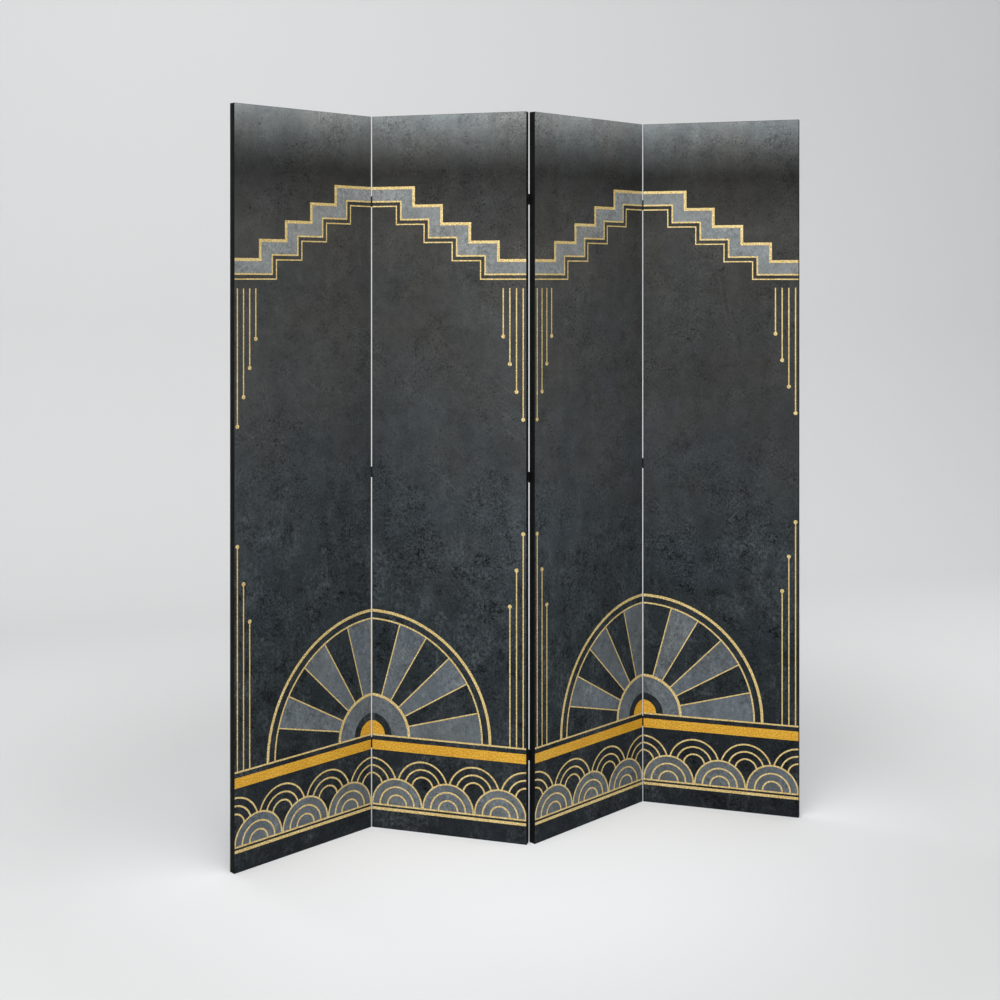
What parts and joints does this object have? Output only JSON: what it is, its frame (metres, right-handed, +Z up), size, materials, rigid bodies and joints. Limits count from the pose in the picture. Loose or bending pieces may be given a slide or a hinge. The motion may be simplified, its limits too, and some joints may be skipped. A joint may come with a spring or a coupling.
{
  "type": "folding room divider",
  "caption": "Free-standing folding screen of tall canvas panels on stretcher frames, joined edge to edge by small butt hinges.",
  "frame": {"origin": "on the floor, at the middle of the standing screen's width and depth", "axes": "+X along the screen to the right as seen from its printed side, +Y from the printed side to the back, +Z up"},
  "size_m": [1.4486, 0.2182, 1.8],
  "materials": {
    "printed_canvas": "matt printed canvas with a fine weave, charcoal ground with grey and gold",
    "back_cloth": "black non-woven cloth, matt",
    "pine": "planed pine, bare",
    "hinge_steel": "black lacquer, satin",
    "pin_steel": "blackened steel, satin",
    "screw_steel": "black zinc, satin"
  },
  "bodies": {
    "panel_1": {"canvas_1": "printed_canvas", "back_cover_1": "back_cloth", "left_stile_1": "pine", "right_stile_1": "pine", "top_rail_1": "pine", "bottom_rail_1": "pine", "cross_bars_1": "pine", "hinge_screws_1": "screw_steel", "lower_hinge_12_left_leaf": "hinge_steel", "lower_hinge_12_pin": "pin_steel", "middle_hinge_12_left_leaf": "hinge_steel", "middle_hinge_12_pin": "pin_steel", "upper_hinge_12_left_leaf": "hinge_steel", "upper_hinge_12_pin": "pin_steel"},
    "panel_2": {"canvas_2": "printed_canvas", "back_cover_2": "back_cloth", "left_stile_2": "pine", "right_stile_2": "pine", "top_rail_2": "pine", "bottom_rail_2": "pine", "cross_bars_2": "pine", "hinge_screws_2": "screw_steel", "lower_hinge_23_left_leaf": "hinge_steel", "lower_hinge_23_pin": "pin_steel", "middle_hinge_23_left_leaf": "hinge_steel", "middle_hinge_23_pin": "pin_steel", "upper_hinge_23_left_leaf": "hinge_steel", "upper_hinge_23_pin": "pin_steel", "lower_hinge_12_right_leaf": "hinge_steel", "middle_hinge_12_right_leaf": "hinge_steel", "upper_hinge_12_right_leaf": "hinge_steel"},
    "panel_3": {"canvas_3": "printed_canvas", "back_cover_3": "back_cloth", "left_stile_3": "pine", "right_stile_3": "pine", "top_rail_3": "pine", "bottom_rail_3": "pine", "cross_bars_3": "pine", "hinge_screws_3": "screw_steel", "lower_hinge_34_left_leaf": "hinge_steel", "lower_hinge_34_pin": "pin_steel", "middle_hinge_34_left_leaf": "hinge_steel", "middle_hinge_34_pin": "pin_steel", "upper_hinge_34_left_leaf": "hinge_steel", "upper_hinge_34_pin": "pin_steel", "lower_hinge_23_right_leaf": "hinge_steel", "middle_hinge_23_right_leaf": "hinge_steel", "upper_hinge_23_right_leaf": "hinge_steel"},
    "panel_4": {"canvas_4": "printed_canvas", "back_cover_4": "back_cloth", "left_stile_4": "pine", "right_stile_4": "pine", "top_rail_4": "pine", "bottom_rail_4": "pine", "cross_bars_4": "pine", "hinge_screws_4": "screw_steel", "lower_hinge_34_right_leaf": "hinge_steel", "middle_hinge_34_right_leaf": "hinge_steel", "upper_hinge_34_right_leaf": "hinge_steel"}
  },
  "joints": [
    {"name": "fold_12", "type": "hinge", "parent": "panel_2", "child": "panel_1", "pos_m": [-0.3629, 0.09269, 0.9], "axis": [0, 0, 1], "range_deg": [-60, 120]},
    {"name": "fold_23", "type": "hinge", "parent": "panel_2", "child": "panel_3", "pos_m": [0, -0.09235, 0.9], "axis": [0, 0, 1], "range_deg": [-60, 120]},
    {"name": "fold_34", "type": "hinge", "parent": "panel_3", "child": "panel_4", "pos_m": [0.3629, 0.09269, 0.9], "axis": [0, 0, -1], "range_deg": [-60, 120]}
  ]
}
